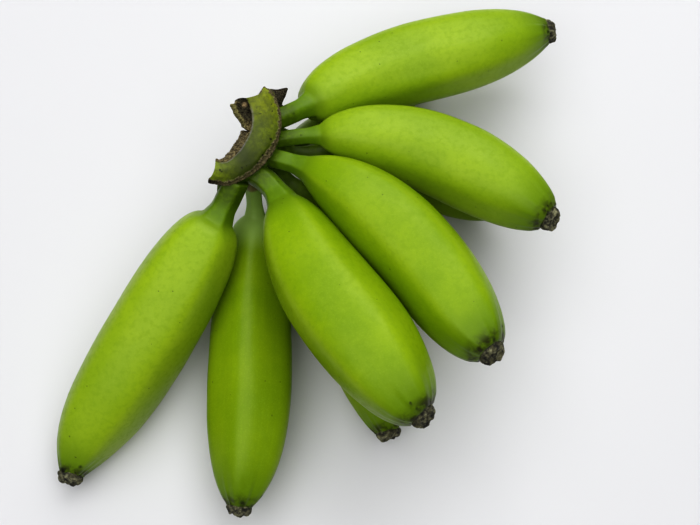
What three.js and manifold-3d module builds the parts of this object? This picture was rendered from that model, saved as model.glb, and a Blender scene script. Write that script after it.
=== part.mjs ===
// A cut hand of green plantain bananas, lying on a table.
//
// Nine fruits grow in two rows from one curved piece of stalk, the crown. Each fruit
// ends in the dried remains of its flower. Millimetres, +Z up, table top at Z = 0.

import * as THREE from 'three';
import Module from 'manifold-3d';
import { mergeVertices } from 'three/addons/utils/BufferGeometryUtils.js';

// ---- driving dimensions -------------------------------------------------------------

const GAP = 0.35; // clearance between pieces that touch

// The stalk axis: a point on it level with the crown's top edge, and its lean.
const STALK_TOP = new THREE.Vector3(-60, 51, 79.6);
const STALK_LEAN = 20; // degrees from upright
const STALK_LEAN_TOWARD = -60; // heading of the lean, degrees from +X

// Crown, in the stalk's own cylinder coordinates (radius, height, start and end angle).
// The ring runs once round its section: skin above the bract scar, the scar's lip, the
// cushion that bears the fruit, the underside, and the knife cut facing the stalk axis.
const CROWN_RING = [
  { radius: 17.8, height: 0, from: -84, to: 30 },
  { radius: 21.5, height: 0.3, from: -86, to: 27.5 },
  { radius: 25.5, height: -0.8, from: -89, to: 27 },
  { radius: 28.4, height: -2.4, from: -92, to: 29 },
  { radius: 29.3, height: -4.0, from: -92.5, to: 29.5 },
  { radius: 28.4, height: -5.6, from: -91, to: 28 },
  { radius: 28.8, height: -7.5, from: -86, to: 25 },
  { radius: 30.4, height: -9.5, from: -83, to: 20.5 },
  { radius: 31.6, height: -16, from: -80, to: 16 },
  { radius: 32.4, height: -22, from: -78, to: 14 },
  { radius: 31.8, height: -28, from: -76, to: 13 },
  { radius: 29.5, height: -33, from: -74, to: 14 },
  { radius: 24.0, height: -36.5, from: -71, to: 17 },
  { radius: 19.0, height: -37, from: -67, to: 20 },
  { radius: 16.4, height: -30, from: -67, to: 24 },
  { radius: 15.2, height: -20, from: -71, to: 27 },
  { radius: 15.4, height: -10, from: -77, to: 29 },
];
const CROWN_MIDDLE = { radius: 25, height: -18 }; // inside the section, grown from here
const CROWN_STEPS = 40; // sections round the stalk axis
const HORN = { share: 0.12, inward: 3.2 }; // the scar's ends curve in toward the stalk axis
const CUT_RIPPLE = 0.7; // how far the fibres of the knife cut stand out or in
const SCAR_RIPPLE = 0.3; // unevenness of the bract scar's lip
// Torn corner where the next fruit was broken off: the ring points it pulls out, how far,
// and the angle at which it begins.
const STUMP = { reach: { 7: 3.6, 8: 1.6 }, from: 6 };

// Rows of fruit: how far down the crown they grow, and the stalk radius of their roots.
const ROW_HEIGHT = { upper: -12, lower: -25 };
const ROOT_RADIUS = 33;
const ROOT_SUNK = 4; // how far a fruit stalk runs on into the crown before it is trimmed

// Fruits. station: angle round the stalk. heading and pitch: direction of the fruit's
// axis at BEND_NODES of its length. stalk: length and radius of the fruit stalk. girth:
// half of the greatest thickness, and thickest: where it lies along the body. ridge:
// angle from the top toward the right-hand side (seen from the root) where one of the
// edges runs, and edge: how marked the edges are. shoulder: exponent of the swelling from
// the stalk, lower is fuller. taper: power and exponent of the narrowing to the tip.
// blend: how sharply stalk and tip meet the body, higher is sharper.
const BEND_NODES = [0, 0.12, 0.3, 0.6, 1];
const FRUITS = [
  { row: 'upper', station: -75, heading: [-121.5, -123.7, -122.4, -124.4, -98.3],
    pitch: [-33, -22.1, -16.8, -20, 7], length: 152.7, girth: 20.3, thickest: 0.406,
    stalk: [13.7, 5.6], ridge: -42, edge: 4, shoulder: 0.27, taper: [3.54, 0.729], blend: 4.8 },
  { row: 'upper', station: -47.6, heading: [-34.3, -62.1, -65.5, -53.4, -44.1],
    pitch: [-2, 1.9, 6.8, 8, 5], length: 130.8, girth: 21.3, thickest: 0.555,
    stalk: [14.7, 5.32], ridge: 48, edge: 4, shoulder: 0.386, taper: [2.01, 0.467], blend: 6.44 },
  { row: 'upper', station: -28.8, heading: [-15.4, -25.6, -36.4, -52.3, -53.1],
    pitch: [6.5, 4.3, -1.1, 1.4, 14], length: 134.3, girth: 19.1, thickest: 0.49,
    stalk: [14.7, 4.2], ridge: 36, edge: 4, shoulder: 0.558, taper: [2.91, 0.507], blend: 3.03 },
  { row: 'upper', station: -12.6, heading: [7.9, 5.6, -3.1, -23.8, -39.3],
    pitch: [4.2, -4.9, -11.5, -5.1, 6], length: 132.6, girth: 18.4, thickest: 0.591,
    stalk: [17, 3.46], ridge: 27, edge: 5.5, shoulder: 0.465, taper: [2, 0.53], blend: 2.57 },
  { row: 'upper', station: 4.8, heading: [31.7, 41.2, 31.5, 15.7, 8.8],
    pitch: [-17, -25.4, -15.7, -2, 4.5], length: 146.9, girth: 19, thickest: 0.543,
    stalk: [14.7, 4.45], ridge: 27, edge: 6, shoulder: 0.303, taper: [2.15, 0.574], blend: 3.55 },
  { row: 'lower', station: -54, heading: [-85.4, -91.8, -91.9, -89.1, -97.7],
    pitch: [-66, -38.2, -10.7, 6, -3], length: 156.8, girth: 19.1, thickest: 0.523,
    stalk: [17.9, 3.65], ridge: 4, edge: 5, shoulder: 0.338, taper: [2.92, 0.616], blend: 5.29 },
  { row: 'lower', station: -32.3, heading: [-40, -52, -62.4, -69.9, -76.7],
    pitch: [-40, -27.1, -15.8, -9.7, 2], length: 141.3, girth: 18.1, thickest: 0.452,
    stalk: [11.9, 3.8], ridge: 20, edge: 4, shoulder: 0.51, taper: [2.53, 0.582], blend: 4.36 },
  { row: 'lower', station: -18.6, heading: [-2.1, -1.1, 4.6, -12.5, -13.5],
    pitch: [-37.7, -27.3, -27.8, -10.6, 4.8], length: 123.6, girth: 15.4, thickest: 0.527,
    stalk: [12, 3.3], ridge: 36, edge: 4, shoulder: 0.51, taper: [2.64, 0.65], blend: 5 },
  { row: 'lower', station: -6.7, heading: [3, 35.4, 37.7, 32.8, 25],
    pitch: [-58.8, -54.9, -38.3, -9.9, 6], length: 104.4, girth: 12, thickest: 0.582,
    stalk: [13, 3.2], ridge: 36, edge: 4, shoulder: 0.51, taper: [2.64, 0.65], blend: 5 },
];
const TIP_RADIUS = 5.6; // where the flower sat
const FLARE = { gain: 0.45, length: 7 }; // widening of the stalk where it meets the body
const FACES = 5; // flat sides round a fruit
const END_EDGE = { stalk: 3.4, tip: 6.5 }; // how marked the edges are there
const AROUND = 25; // mesh points round a fruit
const ALONG = 21; // mesh rings along a fruit's body
const SPINE_STEPS = 120;

// Dried flower remains: a corky plug on the tip of each fruit.
const PLUG = { startsBefore: 2.7, endsAfter: 1.5, radius: 5.9, sides: 14 };
const PLUG_RINGS = [
  { along: 0, radius: 0.94 },
  { along: 0.3, radius: 1 },
  { along: 0.62, radius: 0.95 },
  { along: 0.86, radius: 0.86 },
  { along: 1, radius: 0.62 },
];
const PLUG_RAGGED = 0.5; // unevenness of the plug's torn edge

// The block of space over the table that the fruit is kept to: where a fruit rests, the
// table presses a small flat spot into its round side.
const OVER_TABLE = { width: 600, height: 200 };

// ---- materials ----------------------------------------------------------------------

const crownSkin = new THREE.MeshStandardMaterial({ color: 0x5f6e2d, roughness: 0.6, metalness: 0 });
const fruitSkin = new THREE.MeshStandardMaterial({ color: 0x7ca61c, roughness: 0.45, metalness: 0 });
const driedTissue = new THREE.MeshStandardMaterial({ color: 0x3b332a, roughness: 0.95, metalness: 0 });

// ---- solids -------------------------------------------------------------------------

const wasm = await Module();
wasm.setup();

const radians = THREE.MathUtils.degToRad;

// Closed skin over a list of rings (arrays of points, same count, same turning sense),
// with a fan of triangles over the first and the last ring.
function loftRings(rings) {
  const count = rings[0].length;
  const positions = [];
  const indices = [];
  const centre = (ring) => ring.reduce((sum, p) => sum.add(p), new THREE.Vector3()).divideScalar(count);
  for (const ring of rings) {
    for (const point of ring) positions.push(point.x, point.y, point.z);
  }
  const first = positions.length / 3;
  const last = first + 1;
  positions.push(...centre(rings[0]).toArray(), ...centre(rings.at(-1)).toArray());
  const lastRing = (rings.length - 1) * count;
  for (let j = 0; j < count; j += 1) {
    const next = (j + 1) % count;
    for (let i = 0; i < rings.length - 1; i += 1) {
      const a = i * count + j;
      const b = i * count + next;
      indices.push(a, b, b + count, a, b + count, a + count);
    }
    indices.push(first, next, j, last, lastRing + j, lastRing + next);
  }
  return { positions, indices };
}

function toManifold({ positions, indices }) {
  return new wasm.Manifold(new wasm.Mesh({
    numProp: 3,
    vertProperties: new Float32Array(positions),
    triVerts: new Uint32Array(indices),
  }));
}

function toGeometry(manifold) {
  const mesh = manifold.getMesh();
  const geometry = new THREE.BufferGeometry();
  const vertices = new THREE.BufferAttribute(new Float32Array(mesh.vertProperties), 3);
  geometry.setAttribute('position', vertices);
  geometry.setIndex(new THREE.BufferAttribute(new Uint32Array(mesh.triVerts), 1));
  const merged = mergeVertices(geometry, 1e-5);
  merged.computeVertexNormals();
  return merged;
}

function spaceOverTable() {
  const { width, height } = OVER_TABLE;
  const box = new THREE.BoxGeometry(width, width, height).translate(0, 0, height / 2);
  box.deleteAttribute('normal');
  box.deleteAttribute('uv');
  const merged = mergeVertices(box);
  const positions = [...merged.attributes.position.array];
  return toManifold({ positions, indices: [...merged.index.array] });
}

// ---- crown --------------------------------------------------------------------------

const stalkAxis = new THREE.Vector3(
  Math.sin(radians(STALK_LEAN)) * Math.cos(radians(STALK_LEAN_TOWARD)),
  Math.sin(radians(STALK_LEAN)) * Math.sin(radians(STALK_LEAN_TOWARD)),
  Math.cos(radians(STALK_LEAN)));
const stalkSide = new THREE.Vector3(1, 0, 0).addScaledVector(stalkAxis, -stalkAxis.x).normalize();
const stalkFront = new THREE.Vector3().crossVectors(stalkAxis, stalkSide);

function onStalk(radius, degrees, height) {
  return STALK_TOP.clone()
    .addScaledVector(stalkSide, radius * Math.cos(radians(degrees)))
    .addScaledVector(stalkFront, radius * Math.sin(radians(degrees)))
    .addScaledVector(stalkAxis, height);
}

// Ripples of the fibres in the cut face and of the scar's lip, from a few sine waves.
function crownRipple(ringIndex, degrees) {
  const onCut = ringIndex >= CROWN_RING.length - 4;
  const onScar = ringIndex >= 3 && ringIndex <= 5;
  const slow = Math.sin(degrees * 0.13 + ringIndex * 1.4);
  const quick = Math.sin(degrees * 0.29 + ringIndex * 0.8);
  const wave = slow + 0.6 * quick;
  if (onCut) return wave * CUT_RIPPLE;
  if (onScar) return wave * SCAR_RIPPLE;
  return 0;
}

// How far the skin and the scar above the cushion curve in near the crown's two ends.
function hornInset(ringIndex, share) {
  if (ringIndex < 2 || ringIndex > 6) return 0;
  const fromEnd = Math.min(share, 1 - share) / HORN.share;
  return HORN.inward * Math.max(0, 1 - fromEnd) ** 2;
}

// How far the torn corner stands out at the crown's upper end.
function stumpReach(ringIndex, degrees) {
  const reach = STUMP.reach[ringIndex] ?? 0;
  const share = (degrees - STUMP.from) / (CROWN_RING[ringIndex].to - STUMP.from);
  return reach * Math.max(0, share);
}

// Sections of the crown from its lower-left end to its upper end, grown by an offset.
function crownRings(offset) {
  const rings = [];
  for (let i = 0; i <= CROWN_STEPS; i += 1) {
    const share = i / CROWN_STEPS;
    const endShift = (share - 0.5) * 2 * THREE.MathUtils.radToDeg(offset / CROWN_MIDDLE.radius);
    rings.push(CROWN_RING.map((point, k) => {
      const degrees = THREE.MathUtils.lerp(point.from, point.to, share) + endShift;
      const out = new THREE.Vector2(
        point.radius - CROWN_MIDDLE.radius, point.height - CROWN_MIDDLE.height);
      const reach = out.length();
      out.multiplyScalar((reach + offset) / reach);
      const shaped = crownRipple(k, degrees) - hornInset(k, share) + stumpReach(k, degrees);
      return onStalk(
        CROWN_MIDDLE.radius + out.x + shaped, degrees, CROWN_MIDDLE.height + out.y);
    }));
  }
  return rings;
}

function crownSolid(offset) {
  return toManifold(loftRings(crownRings(offset)));
}

// ---- fruits -------------------------------------------------------------------------

// Value at share t of a curve that passes through the four values at BEND_NODES.
function bend(values, t) {
  return values.reduce((sum, value, i) => {
    let weight = 1;
    BEND_NODES.forEach((node, j) => {
      if (j !== i) weight *= (t - node) / (BEND_NODES[i] - node);
    });
    return sum + value * weight;
  }, 0);
}

function directionAt(fruit, t) {
  const share = THREE.MathUtils.clamp(t, 0, 1);
  const heading = radians(bend(fruit.heading, share));
  const pitch = radians(bend(fruit.pitch, share));
  return new THREE.Vector3(
    Math.cos(pitch) * Math.cos(heading), Math.cos(pitch) * Math.sin(heading), Math.sin(pitch));
}

// Points along a fruit's axis, SPINE_STEPS to its length, from its root on.
function spineOf(fruit) {
  const step = fruit.length / SPINE_STEPS;
  const point = onStalk(ROOT_RADIUS, fruit.station, ROW_HEIGHT[fruit.row]);
  const points = [point.clone()];
  for (let i = 0; i < SPINE_STEPS; i += 1) {
    point.addScaledVector(directionAt(fruit, (i + 0.5) / SPINE_STEPS), step);
    points.push(point.clone());
  }
  return points;
}

function axisPoint(fruit, spine, distance) {
  const t = distance / fruit.length;
  if (t <= 0) return spine[0].clone().addScaledVector(directionAt(fruit, 0), distance);
  if (t >= 1) {
    return spine.at(-1).clone().addScaledVector(directionAt(fruit, 1), distance - fruit.length);
  }
  const i = Math.floor(t * SPINE_STEPS);
  return spine[i].clone().lerp(spine[Math.min(i + 1, SPINE_STEPS)], t * SPINE_STEPS - i);
}

function bodyShare(fruit, distance) {
  const [stalkLength] = fruit.stalk;
  return THREE.MathUtils.clamp((distance - stalkLength) / (fruit.length - stalkLength), 0, 1);
}

// Half thickness at a distance from the root: stalk, round shoulder, belly, blunt tip.
function girthAt(fruit, distance) {
  const share = bodyShare(fruit, distance);
  const before = Math.max(0, 1 - share / fruit.thickest);
  const beyond = Math.max(0, (share - fruit.thickest) / (1 - fruit.thickest));
  const [power, exponent] = fruit.taper;
  const swelling = Math.max(0, 1 - before ** 2) ** fruit.shoulder;
  const narrowing = Math.max(0, 1 - beyond ** power) ** exponent;
  const body = fruit.girth * swelling * narrowing;
  const [stalkLength, stalkRadius] = fruit.stalk;
  const flare = THREE.MathUtils.smoothstep(
    distance, stalkLength - FLARE.length, stalkLength + FLARE.length / 2);
  const flared = stalkRadius * (1 + FLARE.gain * flare);
  const end = THREE.MathUtils.lerp(flared, TIP_RADIUS, share ** 0.5);
  return (body ** fruit.blend + end ** fruit.blend) ** (1 / fruit.blend);
}

function sharpnessAt(fruit, distance) {
  const share = bodyShare(fruit, distance);
  const onBody = Math.sin(Math.PI * share) ** 0.6;
  const atEnd = THREE.MathUtils.lerp(END_EDGE.stalk, END_EDGE.tip, share);
  return THREE.MathUtils.lerp(atEnd, fruit.edge, onBody);
}

// Distance from the middle to the side of a rounded FACES-sided section, at an angle
// from one of its edges.
function facetRadius(angle, sharpness) {
  let total = 0;
  for (let k = 0; k < FACES; k += 1) {
    const facing = Math.cos(angle - (k + 0.5) * 2 * Math.PI / FACES);
    total += Math.max(0, facing) ** sharpness;
  }
  return total ** (-1 / sharpness);
}

// The same, scaled so that the mean over the whole section is 1.
function sectionRadius(angle, sharpness) {
  const samples = 12;
  let mean = 0;
  for (let i = 0; i < samples; i += 1) {
    mean += facetRadius(i * 2 * Math.PI / FACES / samples, sharpness) / samples;
  }
  return facetRadius(angle, sharpness) / mean;
}

// The directions up and to the right across a fruit's axis, seen from its root.
function acrossAt(fruit, distance) {
  const along = directionAt(fruit, distance / fruit.length);
  const right = new THREE.Vector3().crossVectors(along, new THREE.Vector3(0, 0, 1)).normalize();
  const top = new THREE.Vector3().crossVectors(right, along);
  return { right, top };
}

function sectionRing(fruit, spine, distance) {
  const { right, top } = acrossAt(fruit, distance);
  const centre = axisPoint(fruit, spine, distance);
  const girth = girthAt(fruit, distance);
  const sharpness = sharpnessAt(fruit, distance);
  const ring = [];
  for (let j = 0; j < AROUND; j += 1) {
    const turn = j * 2 * Math.PI / AROUND;
    const radius = girth * sectionRadius(turn, sharpness);
    const angle = turn + radians(fruit.ridge);
    ring.push(centre.clone()
      .addScaledVector(top, radius * Math.cos(angle))
      .addScaledVector(right, radius * Math.sin(angle)));
  }
  return ring;
}

function fruitSolid(fruit, spine) {
  const [stalkLength] = fruit.stalk;
  const end = fruit.length - PLUG.startsBefore - GAP;
  const distances = [-ROOT_SUNK, 0, stalkLength * 0.4, stalkLength * 0.7, stalkLength * 0.9];
  for (let i = 1; i <= ALONG; i += 1) {
    const share = (1 - Math.cos(Math.PI * i / (ALONG + 0.6))) / 2;
    distances.push(stalkLength + (fruit.length - stalkLength) * share);
  }
  const kept = distances.filter((distance) => distance < end - 1.5);
  kept.push(end);
  return toManifold(loftRings(kept.map((distance) => sectionRing(fruit, spine, distance))));
}

function plugSolid(fruit, spine, seed) {
  const start = fruit.length - PLUG.startsBefore;
  const reach = PLUG.startsBefore + PLUG.endsAfter;
  const rings = PLUG_RINGS.map((ringSize, k) => {
    const distance = start + reach * ringSize.along;
    const { right, top } = acrossAt(fruit, distance);
    const ring = [];
    for (let j = 0; j < PLUG.sides; j += 1) {
      const angle = j * 2 * Math.PI / PLUG.sides;
      const wave = Math.sin(angle * 3 + seed * 2.3 + k)
        + 0.7 * Math.sin(angle * 5 + seed * 4.1 - k * 1.7);
      const ragged = k === 0 ? 0 : wave * PLUG_RAGGED;
      const radius = PLUG.radius * ringSize.radius + ragged;
      ring.push(axisPoint(fruit, spine, distance + (k > 2 ? ragged : 0))
        .addScaledVector(top, radius * Math.cos(angle))
        .addScaledVector(right, radius * Math.sin(angle)));
    }
    return ring;
  });
  return toManifold(loftRings(rings));
}

// ---- assembly -----------------------------------------------------------------------

const hand = new THREE.Group();

function addMesh(name, manifold, material) {
  const mesh = new THREE.Mesh(toGeometry(manifold), material.clone());
  mesh.name = name;
  hand.add(mesh);
}

const overTable = spaceOverTable();
const crownWithGap = crownSolid(GAP);
addMesh('crown', crownSolid(0), crownSkin);

const counters = { upper: 0, lower: 0 };
FRUITS.forEach((fruit, index) => {
  counters[fruit.row] += 1;
  const label = `${fruit.row}_${counters[fruit.row]}`;
  const spine = spineOf(fruit);
  const solid = fruitSolid(fruit, spine).subtract(crownWithGap).intersect(overTable);
  addMesh(`fruit_${label}`, solid, fruitSkin);
  addMesh(`dried_flower_${label}`, plugSolid(fruit, spine, index), driedTissue);
});

// The origin is under the middle of the hand, on the table.
const bounds = new THREE.Box3().setFromObject(hand);
const middle = bounds.getCenter(new THREE.Vector3());
hand.position.set(-middle.x, -middle.y, 0);

export default hand;
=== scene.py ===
"""A cut hand of green plantain bananas, lying on a pale table.

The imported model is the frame. Every piece made here stands for one node of it, at the
same place and size, with a finer skin and its finish. Sizes are in millimetres, and they
become metres where a mesh is made.
"""

import logging
import math
from collections.abc import Iterable
from dataclasses import dataclass
from enum import Enum
from functools import partial

import bpy
import numpy as np
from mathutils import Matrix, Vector, noise


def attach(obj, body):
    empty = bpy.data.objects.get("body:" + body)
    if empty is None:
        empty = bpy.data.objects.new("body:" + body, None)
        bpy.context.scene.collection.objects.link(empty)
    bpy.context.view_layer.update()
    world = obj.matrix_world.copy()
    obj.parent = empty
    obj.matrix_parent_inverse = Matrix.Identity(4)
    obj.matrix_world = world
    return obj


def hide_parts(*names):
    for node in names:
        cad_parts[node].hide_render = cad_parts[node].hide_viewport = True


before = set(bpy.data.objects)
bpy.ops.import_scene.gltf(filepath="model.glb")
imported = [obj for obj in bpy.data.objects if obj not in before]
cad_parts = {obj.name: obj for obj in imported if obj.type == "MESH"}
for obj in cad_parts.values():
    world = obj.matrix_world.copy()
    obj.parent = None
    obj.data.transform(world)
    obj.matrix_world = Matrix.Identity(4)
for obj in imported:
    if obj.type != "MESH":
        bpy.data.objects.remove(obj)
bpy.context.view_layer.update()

LOG = logging.getLogger("hand")

MM = 0.001  # metres in a millimetre
FULL_TURN = 2 * math.pi
BODY = "root"
SEED_STEPS = (13.7, -7.1, 3.3)  # how far each seed moves the noise, in its own lumps
NOISE_FALL = 1.0  # how fast the noise's finer layers weaken
NOISE_STEP = 2.0  # how many times finer each layer is
JUST_BEFORE = 1e-9  # keeps the last place on a curve's last stretch
NO_LENGTH = 1e-12  # keeps a length of 0 from being divided by

Array = np.ndarray
Socket = bpy.types.NodeSocket
Surface = tuple[Socket, Socket, Socket]  # colour, roughness and height
Colour = tuple[float, float, float, float]
Quad = tuple[float, float, float, float]
Bend = tuple[float, float, float, float, float]
Pair = tuple[float, float]
Triple = tuple[float, float, float]
Line = tuple[Pair, ...]  # places, and the value at each
Follow = tuple[tuple[int, float], ...]  # ring points, and how far each one follows


# ---- numbers and shapes ---------------------------------------------------------------


def srgb(red: int, green: int, blue: int) -> Colour:
    """Turns a screen colour into the linear colour that a shader takes.

    Args:
        red: Red, 0 to 255.
        green: Green, 0 to 255.
        blue: Blue, 0 to 255.

    Returns:
        Linear red, green and blue, and an alpha of 1.
    """
    shares = (channel / 255 for channel in (red, green, blue))
    linear = (s / 12.92 if s <= 0.04045 else ((s + 0.055) / 1.055) ** 2.4 for s in shares)
    return *linear, 1.0


def smooth(values: Array, start: float, end: float) -> Array:
    """Rises smoothly from 0 at start to 1 at end, or falls if end is below start."""
    share = np.clip((values - start) / (end - start), 0, 1)
    return share * share * (3 - 2 * share)


def bell(values: Array, middle: float, width: float) -> Array:
    """A bump of height 1 at its middle, fallen to about a third a width away from it."""
    return np.exp(-(((values - middle) / width) ** 2))


def bells(values: Array, parts: Iterable[Triple]) -> Array:
    """Adds up bumps, each given by its height, its middle and its width."""
    return sum(high * bell(values, middle, width) for high, middle, width in parts)


def waves(angles: Array, parts: Iterable[Triple], late: float = 0.0) -> Array:
    """Adds up sine waves, each given by its rate, its phase and its height."""
    return sum(high * np.sin(rate * angles + phase + late) for rate, phase, high in parts)


def read_line(line: Line, places: Array) -> Array:
    """Reads a line of places and values, straight from one place to the next."""
    return np.interp(places, *zip(*line))


def turn_between(angles: Array, place: float) -> Array:
    """How far angles lie from a place round the section, by the shorter way."""
    return (angles - place + math.pi) % FULL_TURN - math.pi


def full_circle(count: int) -> Array:
    """Even angles once round, as one row."""
    return (np.arange(count) * FULL_TURN / count)[None, :]


@dataclass(frozen=True)
class Span:
    """A stretch with soft ends."""

    start: float
    full: float
    fading: float
    end: float

    def at(self, values: Array, late: Array | float = 0.0) -> Array:
        """1 inside the stretch and 0 outside it, where it may start late."""
        return smooth(values - late, self.start, self.full) * smooth(values, self.end, self.fading)


@dataclass(frozen=True)
class Lumps:
    """Even, unordered lumps in space."""

    depth: float  # how far they stand out
    size: float | Triple  # width of the largest, in all or each direction
    octaves: int  # how many finer layers they have
    seed: float = 0.0  # picks another part of the same noise

    def at(self, points: Array, shift: float = 0.0) -> Array:
        """Reads the lumps' pattern.

        Args:
            points: Where to read it, with x, y and z along the last axis.
            shift: What is added to the seed.

        Returns:
            Values of about -1 to 1, one for each point.
        """
        moved = Vector([(self.seed + shift) * step for step in SEED_STEPS])
        flat = (points / self.size).reshape(-1, 3)
        kind = (NOISE_FALL, NOISE_STEP, self.octaves)
        read = [noise.fractal(Vector(place) + moved, *kind) for place in flat.tolist()]
        return np.array(read).reshape(points.shape[:-1])

    def depths(self, points: Array, shift: float = 0.0) -> Array:
        """How far the lumps stand out at each point."""
        return self.depth * self.at(points, shift)


def lagrange(nodes: Bend, values: Bend, at: Array) -> Array:
    """Curve through a few values.

    Args:
        nodes: Where the values are.
        values: The values.
        at: Where to read the curve.

    Returns:
        The curve at each place.
    """
    total = np.zeros_like(at)
    for i, value in enumerate(values):
        weight = np.ones_like(at)
        for j, node in enumerate(nodes):
            if j != i:
                weight = weight * (at - node) / (nodes[i] - node)
        total = total + value * weight
    return total


def closed_curve(points: Array, at: Array) -> Array:
    """Smooth closed curve through a ring of points.

    Args:
        points: The ring, one row a point, of any number of columns.
        at: Places along it, counted in points from the first.

    Returns:
        One row for each place.
    """
    count = len(points)
    start = np.floor(at).astype(int)
    t = (at - start)[:, None]
    before, first, second, after = (points[(start + k) % count] for k in (-1, 0, 1, 2))
    return 0.5 * (
        2 * first
        + (second - before) * t
        + (2 * before - 5 * first + 4 * second - after) * t**2
        + (3 * first - before - 3 * second + after) * t**3
    )


def open_curve(points: Array, count: int) -> Array:
    """Smooth open curve through points, read at even steps.

    Args:
        points: One row a point, of any number of columns.
        count: How many places to read, the first and last point among them.

    Returns:
        One row for each place.
    """
    held = np.vstack([2 * points[0] - points[1], points, 2 * points[-1] - points[-2]])
    at = np.linspace(1, len(points), count)
    at[-1] -= JUST_BEFORE
    return closed_curve(held, at)


def capped(rings: Array, shares: tuple[float, ...]) -> Array:
    """Adds smaller and smaller rings in the first and last ring, to close them flat.

    Args:
        rings: Points by ring and place round it.
        shares: Sizes of the added rings, as shares of the first or last ring.

    Returns:
        The rings with the added ones before and after.
    """
    first, last = rings[0], rings[-1]
    start = [first.mean(0) + (first - first.mean(0)) * s for s in reversed(shares)]
    end = [last.mean(0) + (last - last.mean(0)) * s for s in shares]
    return np.concatenate([np.array(start), rings, np.array(end)])


def pushed_out(rings: Array, depth: Array) -> Array:
    """Moves every point of a skin along the skin's own normal.

    Args:
        rings: Points by ring and place round it, the last place next to the first.
        depth: How far each point moves out.

    Returns:
        The moved points.
    """
    around = np.roll(rings, -1, axis=1) - np.roll(rings, 1, axis=1)
    along = np.gradient(rings, axis=0)
    normal = np.cross(around, along)
    normal /= np.linalg.norm(normal, axis=-1, keepdims=True) + NO_LENGTH
    return rings + normal * depth[..., None]


def linked(name: str, data: bpy.types.ID) -> bpy.types.Object:
    """Makes an object of a mesh, a light or a camera, linked to the scene.

    Args:
        name: The object's name.
        data: What it shows.

    Returns:
        The object.
    """
    made = bpy.data.objects.new(name, data)
    bpy.context.scene.collection.objects.link(made)
    return made


def skin_object(name: str, rings: Array, fields: dict[str, Array]) -> bpy.types.Object:
    """Makes a closed, smooth mesh over rings of points.

    Args:
        name: The piece's name.
        rings: Points in millimetres, by ring and place round it.
        fields: Values for the finish to read, each by ring and place, with or without
            an axis of three numbers.

    Returns:
        The object, linked to the scene.
    """
    count, around = rings.shape[:2]
    points = np.vstack([rings.reshape(-1, 3), rings[0].mean(0), rings[-1].mean(0)])
    here = np.arange(around)
    after = (here + 1) % around
    base = np.arange(count - 1)[:, None] * around
    corners = (base + here, base + after, base + after + around, base + here + around)
    faces = np.stack(corners, axis=-1).reshape(-1, 4).tolist()
    low, high, last = count * around, count * around + 1, (count - 1) * around
    faces += [(low, b, a) for a, b in zip(here.tolist(), after.tolist())]
    faces += [(high, last + a, last + b) for a, b in zip(here.tolist(), after.tolist())]
    mesh = bpy.data.meshes.new(name)
    mesh.from_pydata((points * MM).tolist(), [], faces)
    for key, values in fields.items():
        wide = values.ndim == 3
        flat = values.reshape(-1, 3) if wide else values.reshape(-1)
        ends = np.stack([values[0].mean(0), values[-1].mean(0)])
        stored = mesh.attributes.new(key, "FLOAT_VECTOR" if wide else "FLOAT", "POINT")
        flat = np.concatenate([flat, ends]).astype(np.float32).ravel()
        stored.data.foreach_set("vector" if wide else "value", flat)
    mesh.shade_smooth()
    return linked(name, mesh)


# ---- shader nodes ---------------------------------------------------------------------


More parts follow.
